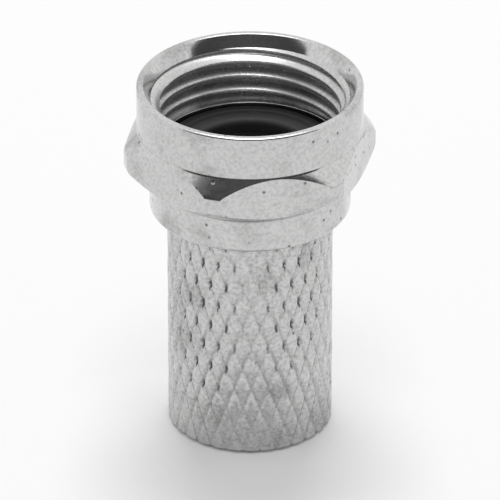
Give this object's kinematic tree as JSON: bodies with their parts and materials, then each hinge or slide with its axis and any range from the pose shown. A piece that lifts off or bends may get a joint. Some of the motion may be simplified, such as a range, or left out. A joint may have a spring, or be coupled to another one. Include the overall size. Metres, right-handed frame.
{
  "type": "f connector",
  "caption": "Twist-on F connector with a free-turning hexagon nut, a diamond-knurled cable barrel and a black rubber seal inside the nut.",
  "frame": {"origin": "centre of the cable end's face, which the connector stands on", "axes": "+Z along the connector's axis, from the cable end to the nut's mouth; +X through two corners of the hexagon"},
  "size_m": [0.0124, 0.0112, 0.0185],
  "materials": {
    "nickel_nut": "bright nickel plate over turned brass",
    "nickel_body": "bright nickel plate over knurled brass",
    "black_rubber": "matt black rubber"
  },
  "bodies": {
    "cable_body": {"knurled_body": "nickel_body", "seal_ring": "black_rubber"},
    "nut": {"coupling_nut": "nickel_nut"}
  },
  "joints": [
    {"name": "nut_spin", "type": "hinge", "parent": "cable_body", "child": "nut", "pos_m": [0, 0, 0.0125], "axis": [0, 0, 1], "continuous": true}
  ]
}
